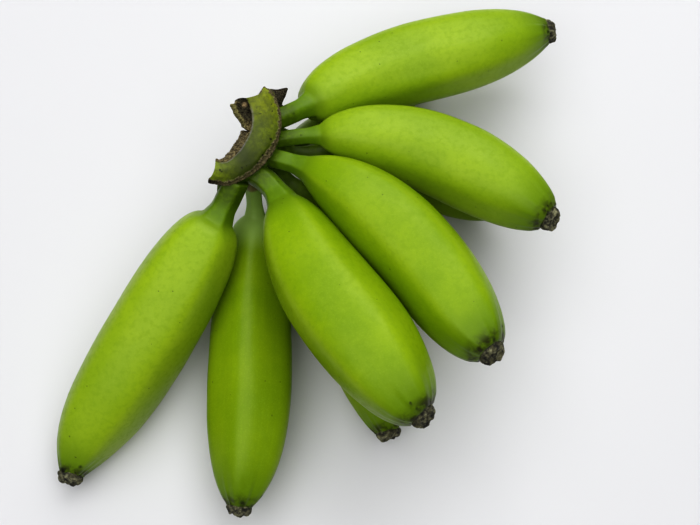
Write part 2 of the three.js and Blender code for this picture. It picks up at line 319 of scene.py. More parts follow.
class Graph:
    """Adds and joins the nodes of one material, world or node group."""

    def __init__(self, tree: bpy.types.NodeTree) -> None:
        """Takes the tree to work on."""
        self.tree = tree

    def add(self, kind: str, inputs: dict | None = None, **settings: object) -> bpy.types.Node:
        """Adds a node.

        Args:
            kind: The node's type.
            inputs: What each input takes, by its name or number: a value, or another
                node's output.
            settings: The node's own properties.

        Returns:
            The new node.
        """
        node = self.tree.nodes.new(kind)
        for key, value in settings.items():
            setattr(node, key, value)
        for key, value in (inputs or {}).items():
            if isinstance(value, Socket):
                self.tree.links.new(value, node.inputs[key])
            else:
                node.inputs[key].default_value = value
        return node

    def field(self, name: str) -> Socket:
        """Reads a field stored on the mesh, as a number."""
        return self.add("ShaderNodeAttribute", attribute_name=name).outputs["Fac"]

    def grain(self) -> Socket:
        """Reads the field of the piece's own grain, as a vector."""
        return self.add("ShaderNodeAttribute", attribute_name="grain").outputs["Vector"]

    def place(self) -> Socket:
        """Gives the place in the hand's own frame, in metres."""
        return self.add("ShaderNodeTexCoord").outputs["Object"]

    def math(self, operation: str, *values: object) -> Socket:
        """Works out one number from one, two or three."""
        return self.add("ShaderNodeMath", dict(enumerate(values)), operation=operation).outputs[0]

    def times(self, first: object, second: object) -> Socket:
        """Multiplies two numbers."""
        return self.math("MULTIPLY", first, second)

    def ramp(self, value: object, low: object, high: object) -> Socket:
        """Rises smoothly from 0 to 1 while the value goes from low to high.

        Args:
            value: A number or an output.
            low: Where the ramp starts.
            high: Where it is full.

        Returns:
            The ramp's height.
        """
        inputs = {"Value": value, "From Min": low, "From Max": high}
        node = self.add("ShaderNodeMapRange", inputs, interpolation_type="SMOOTHSTEP")
        return node.outputs["Result"]

    def between(self, value: object, low: float, high: float) -> Socket:
        """Maps a value of 0 to 1 evenly onto a range."""
        inputs = {"Value": value, "To Min": low, "To Max": high}
        return self.add("ShaderNodeMapRange", inputs).outputs["Result"]

    def blend(self, share: object, first: object, second: object) -> Socket:
        """Mixes two colours, where the share is how much of the second one shows."""
        inputs = {0: share, 6: first, 7: second}
        return self.add("ShaderNodeMix", inputs, data_type="RGBA").outputs[2]

    def layered(self, colour: Socket, *layers: tuple[str | Socket, float, object]) -> Socket:
        """Lays colours one over the other.

        Args:
            colour: The lowest colour.
            layers: For each further one, the mask or the name of the field that says
                where it shows, its strength, and the colour.

        Returns:
            The mixed colour.
        """
        for mask, strength, over in layers:
            share = self.field(mask) if isinstance(mask, str) else mask
            if strength != 1:
                share = self.times(share, strength)
            colour = self.blend(share, colour, over)
        return colour

    def group(self, tree: bpy.types.NodeTree, **inputs: object) -> Socket:
        """Places a shared group and gives its first output."""
        return self.add("ShaderNodeGroup", inputs, node_tree=tree).outputs[0]

    def ended(self, mask: Socket) -> bpy.types.NodeTree:
        """Puts out a shared group's mask, and gives the finished group."""
        self.add("NodeGroupOutput", {"Mask": mask})
        return self.tree


def new_group(name: str, **numbers: float) -> tuple[Graph, bpy.types.NodeOutputs]:
    """Starts a shared node group with a Vector input, number inputs and one Mask output.

    Args:
        name: The group's name.
        numbers: Its number inputs, with their usual values.

    Returns:
        The group's graph, and what its inputs are given.
    """
    tree = bpy.data.node_groups.new(name, "ShaderNodeTree")
    tree.interface.new_socket("Vector", in_out="INPUT", socket_type="NodeSocketVector")
    for key, value in numbers.items():
        made = tree.interface.new_socket(key, in_out="INPUT", socket_type="NodeSocketFloat")
        made.default_value = value
    tree.interface.new_socket("Mask", in_out="OUTPUT", socket_type="NodeSocketFloat")
    graph = Graph(tree)
    return graph, graph.add("NodeGroupInput").outputs


class Effects:
    """The shader effects that several finishes share, each built once as a group."""

    def __init__(self) -> None:
        """Builds the groups."""
        self.mottle = self._mottle()
        self.specks = self._specks()
        self.fibres = self._fibres()

    @staticmethod
    def _mottle() -> bpy.types.NodeTree:
        """Builds cloudy patches: 1 in a patch, 0 between patches.

        Returns:
            The group.
        """
        graph, given = new_group("mottle", Scale=100.0, Detail=3.0, Low=0.4, High=0.6)
        inputs = {key: given[key] for key in ("Vector", "Scale", "Detail")}
        cloud = graph.add("ShaderNodeTexNoise", inputs | {"Roughness": 0.55})
        return graph.ended(graph.ramp(cloud.outputs[0], given["Low"], given["High"]))

    @staticmethod
    def _specks() -> bpy.types.NodeTree:
        """Builds small scattered dots of uneven size: 1 in a dot.

        Returns:
            The group.
        """
        graph, given = new_group("specks", Scale=200.0, Size=0.2, Share=0.3)
        inputs = {key: given[key] for key in ("Vector", "Scale")}
        cells = graph.add("ShaderNodeTexVoronoi", inputs).outputs
        draw = graph.add("ShaderNodeSeparateColor", {"Color": cells["Color"]}).outputs
        reach = graph.times(draw[1], given["Size"])
        full = graph.times(reach, 0.45)  # the rest of a dot fades out
        dot = graph.ramp(cells["Distance"], reach, full)
        chosen = graph.math("LESS_THAN", draw[0], given["Share"])
        return graph.ended(graph.times(dot, chosen))

    @staticmethod
    def _fibres() -> bpy.types.NodeTree:
        """Builds strands along the vector's third axis: 1 on a strand, 0 between strands.

        Returns:
            The group.
        """
        graph, given = new_group("fibres", Across=1.0, Along=0.1, Low=0.4, High=0.6)
        across, along = given["Across"], given["Along"]
        scale = graph.add("ShaderNodeCombineXYZ", {"X": across, "Y": across, "Z": along})
        inputs = {0: given["Vector"], 1: scale.outputs[0]}
        drawn = graph.add("ShaderNodeVectorMath", inputs, operation="MULTIPLY")
        inputs = {"Vector": drawn.outputs[0], "Scale": 1.0, "Detail": 5.0, "Roughness": 0.6}
        strands = graph.add("ShaderNodeTexNoise", inputs)
        return graph.ended(graph.ramp(strands.outputs[0], given["Low"], given["High"]))


def new_material(name: str) -> tuple[bpy.types.Material, Graph]:
    """Makes an empty node material.

    Args:
        name: The material's name.

    Returns:
        The material and its graph.
    """
    material = bpy.data.materials.new(name)
    material.use_nodes = True
    material.node_tree.nodes.clear()
    return material, Graph(material.node_tree)


@dataclass(frozen=True)
class Finish:
    """A kind of surface, whose own class says how it looks."""

    name: str
    relief: float  # depth of its bumps, mm
    specular: float = 0.5

    def surface(self, graph: Graph, effects: Effects) -> Surface:
        """Mixes the colour, roughness and height, in each finish's own way."""
        raise NotImplementedError

    def material(self, effects: Effects) -> bpy.types.Material:
        """Builds the finish's material.

        Args:
            effects: The shared groups.

        Returns:
            The material.
        """
        made, graph = new_material(self.name)
        colour, roughness, height = self.surface(graph, effects)
        inputs = {"Height": height, "Distance": self.relief * MM, "Strength": 1.0}
        bump = graph.add("ShaderNodeBump", inputs)
        inputs = {
            "Base Color": colour,
            "Roughness": roughness,
            "Normal": bump.outputs[0],
            "Specular IOR Level": self.specular,
        }
        shader = graph.add("ShaderNodeBsdfPrincipled", inputs)
        graph.add("ShaderNodeOutputMaterial", {"Surface": shader.outputs[0]})
        return made


@dataclass(frozen=True)
class PeelFinish(Finish):
    """Smooth, waxy green peel with faint mottling and scattered dark specks."""

    name: str = "peel"
    relief: float = 0.05
    specular: float = 0.22
    deep: Colour = srgb(124, 154, 14)
    bright: Colour = srgb(140, 167, 22)
    ridge: Colour = srgb(152, 176, 38)
    # Darker green of the fruit stalks: partly their own colour, partly painted shade.
    stalk: Colour = srgb(97, 126, 26)
    # Painted shade: the darker green laid near each fruit's root, where the crown and the fruits
    # round it shade the peel.
    base: Colour = srgb(74, 94, 24)
    tip: Colour = srgb(92, 122, 20)
    cloud: Colour = srgb(118, 148, 18)
    haze: Colour = srgb(160, 186, 60)
    speck: Colour = srgb(58, 72, 20)
    mark: Colour = srgb(24, 24, 16)
    scorch: Colour = srgb(50, 52, 24)
    # Painted shade laid over the whole peel of a fruit that lies low in the other fruits' shade.
    shade: Colour = srgb(70, 90, 10)
    # Painted light laid over the whole peel of a fruit that stands more in the light.
    pallor: Colour = srgb(200, 220, 90)
    # Painted light: a pale green laid on a stalk that the crown and the fruits above it shade.
    bloom: Colour = srgb(166, 196, 106)
    # Dry husk at a root: partly its own tan, partly a painted highlight that lightens it in shade.
    husk: Colour = srgb(150, 136, 96)
    gloss: Pair = (0.34, 0.46)  # roughness, least and most
    mark_roughness: float = 0.35  # how much rougher the dark spots are
    mark_edge: Pair = (0.42, 0.98)  # where a spot starts and where it is full
    fray: float = 0.25  # how much the clouds eat into a spot's edge
    scorch_range: Pair = (0.35, 1.0)  # strength of the scorch between blotches, and on them
    cloud_height: float = 0.6  # how high the clouds stand, as a share of the relief

    def surface(self, graph: Graph, effects: Effects) -> Surface:
        """Mixes the peel's looks.

        Args:
            graph: The material's graph.
            effects: The shared groups.

        Returns:
            The colour, the roughness and the height.
        """
        place = graph.place()
        mottle = partial(graph.group, effects.mottle, Vector=place)
        strands = partial(graph.group, effects.fibres, Vector=graph.grain())
        patch = mottle(Scale=28.0, Low=0.35, High=0.65)
        cloud = mottle(Scale=420.0, Detail=4.0, Low=0.42, High=0.7)
        haze = mottle(Scale=1500.0, Low=0.48, High=0.7)
        blotch = mottle(Scale=260.0, Low=0.4, High=0.62)
        streak = strands(Across=0.55, Along=0.03, Low=0.4, High=0.72)
        speck = graph.group(effects.specks, Vector=place, Scale=330.0, Size=0.19, Share=0.16)
        scorch = graph.times(graph.field("scorch"), graph.between(blotch, *self.scorch_range))
        frayed = graph.math("ADD", graph.field("mark"), graph.times(cloud, self.fray))
        mark = graph.ramp(frayed, *self.mark_edge)
        colour = graph.layered(
            graph.blend(patch, self.deep, self.bright),
            # painted shade over a whole fruit
            ("shade", 1, self.shade),
            # painted light over a whole fruit
            ("pallor", 1, self.pallor),
            ("ridge", 0.4, self.ridge),
            (streak, 0.18, self.bright),
            (haze, 0.16, self.haze),
            # the stalk's darker green, partly painted shade
            ("root", 1, self.stalk),
            # painted shade near the root
            ("base", 0.85, self.base),
            ("tip", 1, self.tip),
            (cloud, 0.3, self.cloud),
            (speck, 0.6, self.speck),
            # painted light on a shaded stalk
            ("bloom", 1, self.bloom),
            # the husk's tan, partly a painted highlight
            ("husk", 1, self.husk),
            (scorch, 1, self.scorch),
            (mark, 0.85, self.mark),
        )
        worn = graph.times(mark, self.mark_roughness)
        roughness = graph.math("ADD", graph.between(cloud, *self.gloss), worn)
        height = graph.math("SUBTRACT", graph.times(cloud, self.cloud_height), speck)
        return colour, roughness, height


@dataclass(frozen=True)
class CrownFinish(Finish):
    """Olive stalk skin, corky brown bract scar and brown fibrous cut."""

    name: str = "crown"
    relief: float = 0.3
    specular: float = 0.3
    skin: Colour = srgb(108, 122, 30)
    pale: Colour = srgb(130, 140, 26)
    fresh: Colour = srgb(130, 146, 36)
    # Grey-olive of the skin's mottles and of a greyer band across it, that band partly real wear
    # and partly painted shade.
    worn: Colour = srgb(62, 71, 34)
    # Green of the stalk tissue on the cushion and round each fruit stalk: partly its own colour,
    # partly painted shade below the scar.
    stem: Colour = srgb(76, 100, 22)
    speck: Colour = srgb(30, 30, 18)
    cork_dark: Colour = srgb(66, 60, 42)
    cork_light: Colour = srgb(142, 130, 98)
    fibre_dark: Colour = srgb(72, 62, 40)
    fibre_light: Colour = srgb(160, 148, 106)
    flake: Colour = srgb(150, 146, 92)
    lip: Colour = srgb(124, 118, 118)
    hollow: Colour = srgb(98, 94, 70)
    flap: Colour = srgb(96, 90, 70)
    tan: Colour = srgb(190, 168, 128)
    char: Colour = srgb(40, 33, 26)
    gloss: Pair = (0.48, 0.9)  # roughness of the skin, and of cork and cut
    # How strong each colour is between the strands, clouds or crumbs, and on them.
    flake_range: Pair = (0.35, 1.0)
    lip_range: Pair = (0.9, 0.3)
    char_range: Pair = (1.0, 0.75)
    cloud_height: float = 0.15  # how high the skin's clouds stand, as a share of the relief

    def surface(self, graph: Graph, effects: Effects) -> Surface:
        """Mixes the crown's looks.

        Args:
            graph: The material's graph.
            effects: The shared groups.

        Returns:
            The colour, the roughness and the height.
        """
        place = graph.place()
        mottle = partial(graph.group, effects.mottle, Vector=place)
        strands = partial(graph.group, effects.fibres, Vector=graph.grain())
        patch = mottle(Scale=150.0, Detail=4.0, Low=0.38, High=0.62)
        cloud = mottle(Scale=620.0, Detail=5.0, Low=0.4, High=0.66)
        crumb = mottle(Scale=1300.0, Detail=5.0, Low=0.34, High=0.68)
        dot = graph.group(effects.specks, Vector=place, Scale=420.0, Size=0.2, Share=0.3)
        strand = strands(Across=1.5, Along=0.1, Low=0.38, High=0.66)
        torn = graph.blend(strand, self.char, self.flap)
        cork = graph.layered(
            graph.blend(crumb, self.cork_dark, self.cork_light),
            ("core", 0.6, self.cork_light),
            ("flap", 1, torn),
        )
        frayed = graph.times(graph.field("flake"), graph.between(strand, *self.flake_range))
        fibre = graph.blend(strand, self.fibre_dark, self.fibre_light)
        fibre = graph.blend(frayed, fibre, self.flake)
        deep = graph.blend(crumb, self.char, self.hollow)
        broken = graph.times(graph.field("lip"), graph.between(cloud, *self.lip_range))
        dark = graph.times(graph.field("char"), graph.between(crumb, *self.char_range))
        scar, cut = graph.field("scar"), graph.field("cut")
        colour = graph.layered(
            graph.blend(graph.field("pale"), self.skin, self.pale),
            ("fresh", 1, self.fresh),
            # the greyer band: partly real wear, partly painted shade
            ("worn", 0.85, self.worn),
            (patch, 0.45, self.worn),
            (cloud, 0.4, self.worn),
            # stalk green, partly painted shade below the scar
            ("stem", 1, self.stem),
            (dot, 0.7, self.speck),
            ("speck", 1, self.speck),
            (scar, 1, cork),
            (cut, 1, fibre),
            ("hollow", 1, deep),
            ("tan", 1, self.tan),
            (broken, 1, self.lip),
            (dark, 1, self.char),
        )
        rough = graph.math("MAXIMUM", scar, cut)
        relief = graph.times(rough, graph.math("ADD", crumb, strand))
        height = graph.math("ADD", graph.times(cloud, self.cloud_height), relief)
        return colour, graph.between(rough, *self.gloss), height


@dataclass(frozen=True)
class DriedFinish(Finish):
    """Dry, near-black corky flower remains with paler worn ridges."""

    name: str = "dried_flower"
    relief: float = 0.3
    dark: Colour = srgb(32, 31, 24)
    middle: Colour = srgb(84, 82, 60)
    light: Colour = srgb(150, 149, 116)
    gloss: Pair = (0.75, 0.95)  # roughness, least and most
    strand_height: float = 0.7  # how high the strands stand, as a share of the relief

    def surface(self, graph: Graph, effects: Effects) -> Surface:
        """Mixes the dried flower's looks.

        Args:
            graph: The material's graph.
            effects: The shared groups.

        Returns:
            The colour, the roughness and the height.
        """
        strands = partial(graph.group, effects.fibres, Vector=graph.grain())
        mottle = partial(graph.group, effects.mottle, Vector=graph.place())
        strand = strands(Across=0.55, Along=0.35, Low=0.36, High=0.66)
        crumb = mottle(Scale=420.0, Detail=4.0, Low=0.4, High=0.66)
        worn = graph.times(graph.field("raised"), strand)
        colour = graph.blend(worn, graph.blend(crumb, self.dark, self.middle), self.light)
        height = graph.math("ADD", crumb, graph.times(strand, self.strand_height))
        return colour, graph.between(crumb, *self.gloss), height


# ---- the stalk that everything grows from ---------------------------------------------


@dataclass(frozen=True)
class Stalk:
    """The bunch's stalk: its axis, and cylinder coordinates round it."""

    top: Triple = (-43.22, 46.34, 79.6)
    lean: float = 20.0  # degrees from upright
    lean_toward: float = -60.0  # heading of the lean, degrees from +X

    def at(self, radius: Array, degrees: Array, height: Array) -> Array:
        """Gives points by radius, angle and height round the stalk's axis.

        Args:
            radius: Distance from the axis.
            degrees: Angle round it.
            height: Height along it.

        Returns:
            The points, with x, y and z along a new last axis.
        """
        side, front, axis = self.axes()
        turn = np.radians(degrees)
        across = (radius * np.cos(turn))[..., None] * side
        ahead = (radius * np.sin(turn))[..., None] * front
        return np.array(self.top) + across + ahead + height[..., None] * axis

    def axes(self) -> tuple[Array, Array, Array]:
        """Works out the stalk's own directions.

        Returns:
            Its sideways and forward directions, and the one along it.
        """
        lean, toward = math.radians(self.lean), math.radians(self.lean_toward)
        level = math.sin(lean)
        axis = np.array([level * math.cos(toward), level * math.sin(toward), math.cos(lean)])
        side = np.array([1.0, 0.0, 0.0]) - axis * axis[0]
        side /= np.linalg.norm(side)
        return side, np.cross(axis, side), axis

    def unrolled(self, points: Array) -> Array:
        """Lays the stalk's cylinders out flat.

        Args:
            points: Points round the stalk.

        Returns:
            Their places round, out from and along its axis, all as lengths.
        """
        across, ahead, height = np.moveaxis((points - self.top) @ np.stack(self.axes()).T, -1, 0)
        radius = np.hypot(across, ahead)
        return np.stack([np.arctan2(ahead, across) * radius, radius, height], axis=-1)


class Row(Enum):
    """The two rows of fruit, by how far down the crown they grow."""

    UPPER = -12.0
    LOWER = -25.0


@dataclass(frozen=True)
class Mark:
    """A dark spot on the peel."""

    distance: float  # from the fruit's root along its axis
    turn: float  # degrees from the top toward the right-hand side, seen from the root
    radius: float


# ---- crown ----------------------------------------------------------------------------


@dataclass(frozen=True)
class Root:
    """Where a fruit's stalk leaves the crown."""

    start: Array
    direction: Array
    radius: float


@dataclass(frozen=True)
class Crown:
    """The curved piece of stalk that the hand was cut off with.

    The ring is its section: skin above the bract scar, the scar's lip, the cushion that
    bears the fruit, the underside, and the knife cut that faces the stalk's axis. At its
    upper end the cut is torn into a hollow behind a standing flake, and the cushion into
    a pointed flap.
    """

    stalk: Stalk
    roots: tuple[Root, ...]
    # Radius, height, start angle and end angle of each point of the section.
    ring: tuple[Quad, ...] = (
        (18.2, 0, -84, 30), (21.7, 0.3, -86, 27.5), (25.7, -0.6, -89.5, 28),
        (27.6, -2, -92, 31.5), (29.3, -3.9, -92.5, 32), (28.6, -5.7, -91, 29.5),
        (28, -7.6, -87, 25.8), (28.5, -9.8, -84, 23.3), (29.8, -14.5, -81, 16),
        (31, -20.5, -79, 14), (31.2, -27.5, -77, 13), (28.5, -33, -74, 14),
        (23.6, -36.5, -71, 17), (19, -37, -67, 20), (15.9, -30, -67, 24),
        (14.5, -20, -71, 27), (14.6, -10, -77, 29), (15.8, -5, -81, 30),
        (16.6, -2.8, -82, 30), (17.1, -1.6, -83, 30), (17.4, -1, -83.5, 30),
        (17.6, -0.7, -84, 30), (17.8, -0.5, -84, 30), (18, -0.2, -84, 30),
    )
    # The section's points from number 15 on, where the cut is torn into flake and hollow.
    torn: tuple[Quad, ...] = (
        (14.2, -20, -71, 27), (13, -13, -77, 30), (11.5, -8, -81, 31),
        (10.4, -3.8, -82, 34), (10.9, -1.6, -83, 36.5), (12.2, -1.3, -83.5, 33),
        (13.5, -3.4, -84, 37.5), (15.4, -4.6, -84, 37.5), (17.2, -2.6, -84, 33.5),
    )
    notch: float = 0.59  # share of the crown's length where the flake starts
    # How much of the tear opens over which share of the length past the notch.
    tear: Line = ((0.4, 0.012), (0.6, 0.25))
    # The wedge torn out beside the flake: share of the length, width as a share, depth.
    wedge: Triple = (0.572, 0.021, 4.0)
    wedge_lean: float = 0.0027  # how much further along it lies for each mm down, as a share
    wedge_follow: Follow = (
        (12, 0.5), (13, 1), (14, 1), (15, 1), (16, 1), (17, 1), (18, 0.6), (19, 0.2),
    )
    # Share of the crown's length, and how far the cut is set back there.
    cut_set_back: Line = ((0, 2.9), (0.05, 2.7), (0.14, 1.4), (0.3, 0), (1, 0))
    cut_follow: Follow = ((13, 0.4), (14, 0.8), (15, 1), (16, 1), (17, 0.7), (18, 0.3))
    # Share of the crown's length, and the radius of the cut's upper edge there.
    lip_line: Line = (
        (0, 18.7), (0.04, 19.5), (0.12, 20.1), (0.28, 18.9), (0.43, 18), (0.76, 18.2), (1, 17.8),
    )
    torn_lip_hold: float = 0.7  # how much less the torn edge follows that line
    # Share of the crown's length, and the radius of the scar's edge there.
    scar_line: Line = (
        (0, 27.5), (0.07, 28.5), (0.13, 29.7), (0.27, 29.7), (0.4, 30), (0.56, 30.7),
        (0.67, 31), (0.78, 31), (0.85, 30.5), (0.91, 30), (0.96, 29.4), (1, 27.6),
    )
    # Share of the crown's length, and how wide the scar's upper face is there.
    scar_width: Line = (
        (0, 1.7), (0.21, 1.8), (0.37, 2.1), (0.45, 2.8), (0.53, 2.7), (0.58, 2), (0.65, 1.6),
        (0.75, 1.4), (0.96, 1.2), (1, 0.9),
    )
    # How much each ring point near the cut's edge and near the scar follows those lines.
    lip_follow: Follow = (
        (0, 1), (1, 0.5), (17, 0.3), (18, 0.6), (19, 0.8), (20, 0.9), (21, 1), (22, 1), (23, 1),
    )
    scar_follow: Follow = ((2, 0.5), (4, 1), (5, 1), (6, 0.9), (7, 0.5))
    scar_inner: int = 3  # the ring point at the scar's inner edge
    scar_outer: int = 4  # and the one at its outer edge
    # Ring points that the torn flap pulls out, and by how much a degree past its foot.
    flap_pull: Follow = ((5, 0.1), (6, 0.38), (7, 0.74))
    flap_foot: float = 10.0  # degrees
    flap_start: Pair = (11.0, 13.0)  # degrees where its torn skin begins, and is full
    # Where each kind of surface lies round the section, counted in ring points. The horn
    # is the blackened corner at the scar's lower end, and specks lie before the band's end.
    scar_span: Span = Span(2.85, 3.1, 4.7, 5.2)
    cut_span: Span = Span(12.7, 13.4, 23.6, 23.9)
    flap_span: Span = Span(4.9, 5.4, 8.6, 9.5)
    hollow_span: Span = Span(20.2, 20.8, 23.6, 24)
    flake_span: Span = Span(16.5, 17.5, 20, 20.8)
    horn_span: Span = Span(2.8, 3.3, 5.6, 7)
    stem_span: Span = Span(5, 5.6, 12.6, 13.2)
    cushion_span: Span = Span(5.3, 6.3, 12, 12.8)
    band_end: float = 4.0
    # Places and widths, in ring points, of the scar's pale core and the cut's dark rim.
    core_bell: Pair = (3.55, 0.28)
    rim_bell: Pair = (0.45, 0.2)
    rim_dark: float = 0.5  # how strong the dark rim is
    lip_edge: Pair = (0.22, 0.05)  # ring points from the cut's edge, where it is gone, and full
    # Where surfaces start and are full along the crown, as shares of its length.
    lip_reach: Span = Span(0.02, 0.1, 0.8, 0.98)
    horn_reach: Pair = (0.14, 0.04)
    pale_reach: Pair = (0.62, 0.95)
    fresh_reach: Pair = (0.16, 0.02)
    worn_bell: Pair = (0.33, 0.16)  # place and width of the greyer band, partly real wear and partly painted shade
    hollow_opening: Pair = (0.45, 0.8)  # how far open the tear is where the hollow shows
    # Waves by which the scar's and the cut's edges wander: rate, phase and height.
    wander: tuple[Triple, ...] = ((0.7, 0.0, 0.12), (1.9, 1.0, 0.08))
    # The pale spot in the hollow: radius and angle of its place, and its reach.
    tan_place: Pair = (16.2, 24.0)
    tan_reach: Pair = (1.5, 0.5)
    skin: Lumps = Lumps(0.22, 9.0, 3, 1.0)
    crumbs: Lumps = Lumps(0.32, 1.3, 4, 2.0)
    strands: Lumps = Lumps(0.4, (0.9, 1.0, 11.0), 4, 3.0)
    gouges: Lumps = Lumps(0.4, (3.5, 1.0, 24.0), 2, 4.0)
    degree_width: float = 0.27  # width of a degree on the cut
    # Height, place and width of the ridge and the groove along the scar, in ring points.
    scar_folds: tuple[Triple, ...] = ((0.35, 3.15, 0.2), (-0.25, 3.6, 0.25))
    lip_height: float = 0.3
    flap_calm: float = 0.75  # how much smoother the flap is than the scar's cork
    fillet: float = 2.8  # radius of the skin's curve up each fruit stalk
    fillet_reach: Span = Span(-14.0, -8.0, 5.0, 9.0)  # along the fruit stalk
    fillet_tint: float = 3.0  # how fast its green comes in
    steps: int = 260  # sections along the crown
    points_each: int = 7  # mesh points from one ring point to the next
    cap_shares: tuple[float, ...] = (0.96, 0.88, 0.76, 0.62, 0.46, 0.3, 0.14)
    off_caps: tuple[str, ...] = ("scar", "lip", "stem", "hollow", "flake", "tan", "char")
    # Radius, angle and size of dark specks on the band.
    specks: tuple[Triple, ...] = (
        (21.4, 6.1, 0.45), (27.4, -18, 0.7), (27, 7.8, 0.4), (27.3, 14.2, 0.4),
        (22.5, -80, 0.6), (23.3, -78.5, 0.5), (27.3, -34.5, 0.6), (27.8, -43, 0.6),
        (25.1, -57.7, 0.45), (24.9, 6.4, 0.3),
    )

    def build(self) -> bpy.types.Object:
        """Makes the crown's mesh, with the fields that its finish reads.

        Returns:
            The crown.
        """
        share = np.linspace(0, 1, self.steps)
        control = self.sections(share)
        count = len(self.ring)
        place = np.arange(count * self.points_each) / self.points_each
        splined = closed_curve(control.reshape(count, -1), place)
        splined = splined.reshape(len(place), self.steps, 3).swapaxes(0, 1)
        radius, height, degrees = np.moveaxis(splined, -1, 0)
        u = np.broadcast_to(place, radius.shape)
        share = np.broadcast_to(share[:, None], radius.shape)
        points = self.stalk.at(radius, degrees, height)
        fields = self.regions(u, radius, degrees, share)
        points, rise = self.filleted(points, u)
        points = pushed_out(points, self.unevenness(points, u, degrees, height, fields))
        fields["stem"] = np.clip(fields["stem"] + rise, 0, 1)
        points = capped(points, self.cap_shares)
        pad = len(self.cap_shares)
        fields = {
            key: np.pad(values, ((pad, pad), (0, 0)), "edge") for key, values in fields.items()
        }
        for edge in (slice(0, pad), slice(-pad, None)):
            fields["cut"][edge] = 1.0
            for key in self.off_caps:
                fields[key][edge] = 0.0
        fields["grain"] = self.stalk.unrolled(points)
        return skin_object("crown_skin", points, fields)

    def sections(self, share: Array) -> Array:
        """Places the section's points all along the crown.

        Args:
            share: Places along the crown, 0 to 1.

        Returns:
            Radius, height and angle, by ring point, place along the crown, and kind.
        """
        whole = np.array(self.ring)
        rent = whole.copy()
        rent[-len(self.torn) :] = self.torn
        opened = self.torn_share(share)
        ring = whole[:, None] * (1 - opened[:, None]) + rent[:, None] * opened[:, None]
        radius, height, start, end = np.moveaxis(ring, -1, 0)
        degrees = start + (end - start) * share
        lip = (read_line(self.lip_line, share) - whole[0, 0]) * (1 - self.torn_lip_hold * opened)
        scar = read_line(self.scar_line, share) - whole[self.scar_outer, 0]
        set_back = read_line(self.cut_set_back, share)
        for follows, amount in (
            (self.lip_follow, lip),
            (self.scar_follow, scar),
            (self.cut_follow, set_back),
        ):
            for index, follow in follows:
                radius[index] += follow * amount
        radius[self.scar_inner] = radius[self.scar_outer] - read_line(self.scar_width, share)
        middle, width, depth = self.wedge
        for index, follow in self.wedge_follow:
            leaned = middle - self.wedge_lean * self.ring[index][1]
            radius[index] += follow * depth * bell(share, leaned, width)
        for index, pull in self.flap_pull:
            radius[index] += pull * np.clip(degrees[index] - self.flap_foot, 0, None)
        return np.stack([radius, height, degrees], axis=-1)

    def torn_share(self, share: Array) -> Array:
        """How far the cut is opened into flake and hollow along the crown, 0 to 1."""
        past = share - self.notch
        return sum(part * smooth(past, 0, run) for part, run in self.tear)

    def filleted(self, points: Array, u: Array) -> tuple[Array, Array]:
        """Draws the cushion's skin up round each fruit stalk in a smooth curve.

        Args:
            points: The crown's points.
            u: Place round the section, counted in ring points.

        Returns:
            The moved points, and how near each is to a stalk, 0 to 1.
        """
        total = np.zeros(points.shape)
        weight = np.zeros(u.shape)
        cushion = self.cushion_span.at(u)
        for root in self.roots:
            apart = points - root.start
            along = apart @ root.direction
            beside = np.linalg.norm(apart - along[..., None] * root.direction, axis=-1)
            gap = np.clip((beside - root.radius) / self.fillet, 0, 1)
            rise = (1 - np.sqrt(1 - (1 - gap) ** 2)) * cushion * self.fillet_reach.at(along)
            total = total + rise[..., None] * root.direction
            weight = weight + rise
        scale = self.fillet / np.maximum(weight, 1)
        return points + total * scale[..., None], np.clip(weight * self.fillet_tint, 0, 1)

    def regions(self, u: Array, radius: Array, degrees: Array, share: Array) -> dict[str, Array]:
        """Where each kind of surface lies.

        Args:
            u: Place round the section, counted in ring points.
            radius: Distance from the stalk's axis.
            degrees: Angle round the stalk's axis.
            share: Place along the crown, 0 to 1.

        Returns:
            Fields of 0 to 1.
        """
        wobble = waves(degrees, self.wander)
        opened = self.torn_share(share)
        scar = self.scar_span.at(u, wobble)
        cut = self.cut_span.at(u, wobble)
        flap = self.flap_span.at(u) * smooth(degrees, *self.flap_start)
        hollow = self.hollow_span.at(u) * smooth(opened, *self.hollow_opening)
        horn = self.horn_span.at(u) * smooth(share, *self.horn_reach)
        away = np.minimum(u, len(self.ring) - u)

        def reach(out: float, at: float) -> Array:
            """Distance from a place on the band, by its radius and angle."""
            return np.hypot(radius - out, np.radians(degrees - at) * out)

        speck = np.zeros(u.shape)
        for out, at, size in self.specks:
            dot = smooth(reach(out, at), size, size / 2)
            speck = np.maximum(speck, dot * (u < self.band_end))
        return {
            "scar": np.maximum(scar, flap),
            "core": bell(u, *self.core_bell) * scar,
            "cut": cut,
            "flake": self.flake_span.at(u) * opened,
            "lip": smooth(away, *self.lip_edge) * self.lip_reach.at(share),
            "hollow": hollow,
            "flap": flap,
            "tan": smooth(reach(*self.tan_place), *self.tan_reach) * hollow,
            "char": np.clip(horn + self.rim_dark * bell(away, *self.rim_bell) * cut, 0, 1),
            "pale": smooth(share, *self.pale_reach),
            "fresh": smooth(share, *self.fresh_reach),
            "worn": bell(share, *self.worn_bell),
            # the greyer band: partly real wear, partly painted shade
            "speck": speck,
            # stalk green, partly painted shade below the scar
            "stem": self.stem_span.at(u) * (1 - flap),
        }

    def unevenness(
        self, points: Array, u: Array, degrees: Array, height: Array, fields: dict[str, Array]
    ) -> Array:
        """Unevenness of the skin, the cork and the cut.

        Args:
            points: The smooth crown's points.
            u: Place round the section, counted in ring points.
            degrees: Angle round the stalk's axis.
            height: Height along it.
            fields: The kinds of surface.

        Returns:
            How far each point moves out.
        """
        scar, cut = fields["scar"], fields["cut"]
        flat = np.stack([degrees * self.degree_width, degrees * 0, height], axis=-1)
        fibres = self.strands.depths(flat) + self.gouges.depths(flat)
        cork = self.crumbs.depths(points) * (1 - self.flap_calm * fields["flap"])
        bare = 1 - np.maximum(scar, cut)
        skin = self.skin.depths(points) * bare
        cork = cork + bells(u, self.scar_folds)
        return skin + cork * scar + fibres * cut + self.lip_height * fields["lip"]


# ---- fruits ---------------------------------------------------------------------------


